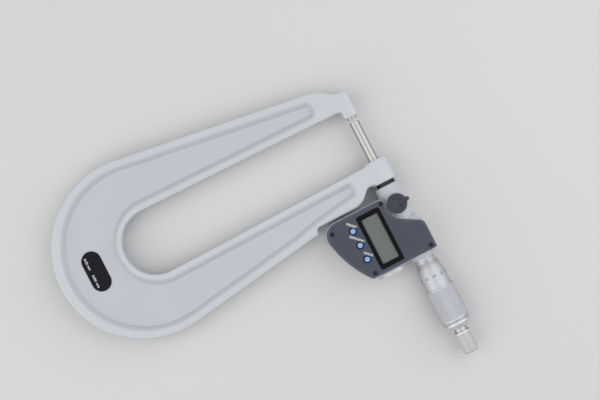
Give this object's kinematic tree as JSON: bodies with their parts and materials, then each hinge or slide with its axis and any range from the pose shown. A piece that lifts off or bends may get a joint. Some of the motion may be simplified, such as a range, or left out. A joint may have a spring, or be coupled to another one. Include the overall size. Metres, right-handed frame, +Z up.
{
  "type": "digital outside micrometer",
  "caption": "Outside micrometer with a deep U frame, a digital display head with buttons, a screw spindle, graduated thimble, ratchet stop and spindle clamp.",
  "frame": {"origin": "centre of the anvil's measuring face", "axes": "+X along the spindle axis from the anvil to the thimble, +Y away from the throat, +Z up out of the display as the tool lies on its back"},
  "size_m": [0.2076, 0.219, 0.0231],
  "materials": {
    "frame_enamel": "satin",
    "head_enamel": "satin",
    "ground_steel": "satin",
    "hard_metal": "polished",
    "dark_steel": "satin",
    "satin_chrome": "satin",
    "cover_plastic": "fine grain",
    "bezel_plastic": "gloss",
    "window_plastic": "clear",
    "display_grey": "matt",
    "board_green": "satin",
    "black_rubber": "matt",
    "button_blue": "gloss",
    "knob_plastic": "fine grain",
    "screw_black": "satin",
    "brass": "satin",
    "cell_steel": "satin",
    "plate_dark": "satin"
  },
  "bodies": {
    "frame_unit": {"frame": "frame_enamel", "anvil": "ground_steel", "anvil_tip": "hard_metal", "head_stem": "dark_steel", "head_housing": "head_enamel", "clamp_shoe": "brass", "display_cover": "cover_plastic", "display_bezel": "bezel_plastic", "display_window": "window_plastic", "display_module": "display_grey", "circuit_board": "board_green", "button_pad": "black_rubber", "cover_screws": "screw_black", "encoder_stator": "board_green", "rotor_retainer": "ground_steel", "spindle_nut": "ground_steel", "adjusting_nut": "ground_steel", "graduated_sleeve": "satin_chrome", "battery_cell": "cell_steel", "battery_contact": "brass", "range_plate": "plate_dark"},
    "rotor": {"encoder_rotor": "board_green"},
    "spindle_unit": {"spindle": "ground_steel", "spindle_tip": "hard_metal", "thimble": "satin_chrome", "thimble_collar": "satin_chrome", "ratchet_body": "ground_steel"},
    "ratchet_stop": {"ratchet_knob": "satin_chrome", "ratchet_disc": "ground_steel", "ratchet_spring": "dark_steel", "ratchet_screw": "ground_steel"},
    "spindle_clamp": {"clamp_knob": "knob_plastic", "clamp_screw": "ground_steel"},
    "origin_key": {"origin_button": "button_blue"},
    "zero_key": {"zero_button": "button_blue"},
    "hold_key": {"hold_button": "button_blue"},
    "cap_seal": {"battery_cap_seal": "black_rubber"},
    "cap": {"battery_cap": "satin_chrome"}
  },
  "joints": [
    {"name": "thimble_turn", "type": "hinge", "parent": "frame_unit", "child": "rotor", "pos_m": [0.079, 0, 0], "axis": [1, 0, 0], "range_deg": [-1476.1, 16524.1]},
    {"name": "spindle_feed", "type": "slide", "parent": "rotor", "child": "spindle_unit", "axis": [1, 0, 0], "range_m": [-0.00205, 0.02295]},
    {"name": "ratchet_turn", "type": "hinge", "parent": "spindle_unit", "child": "ratchet_stop", "pos_m": [0.15, 0, 0], "axis": [1, 0, 0], "continuous": true},
    {"name": "clamp_turn", "type": "hinge", "parent": "frame_unit", "child": "spindle_clamp", "pos_m": [0.05915, 0, 0.0085], "axis": [0, 0, 1], "range_deg": [-50, 10]},
    {"name": "origin_press", "type": "slide", "parent": "frame_unit", "child": "origin_key", "axis": [0, 0, -1], "range_m": [0, 0.0006], "stiffness_N_per_m": 600, "springref_m": -0.0002},
    {"name": "zero_press", "type": "slide", "parent": "frame_unit", "child": "zero_key", "axis": [0, 0, -1], "range_m": [0, 0.0006], "stiffness_N_per_m": 600, "springref_m": -0.0002},
    {"name": "hold_press", "type": "slide", "parent": "frame_unit", "child": "hold_key", "axis": [0, 0, -1], "range_m": [0, 0.0006], "stiffness_N_per_m": 600, "springref_m": -0.0002},
    {"name": "battery_cap_lift", "type": "slide", "parent": "frame_unit", "child": "cap_seal", "axis": [1, 0, 0], "range_m": [0, 0.0045]},
    {"name": "battery_cap_turn", "type": "hinge", "parent": "cap_seal", "child": "cap", "pos_m": [0.0945, -0.02105, -0.0002], "axis": [1, 0, 0], "range_deg": [0, 2160.1]}
  ],
  "couplings": [
    {"joint": "thimble_turn", "follows": "spindle_feed", "rad_per_m": 12566},
    {"joint": "battery_cap_turn", "follows": "battery_cap_lift", "rad_per_m": 8377.6}
  ]
}
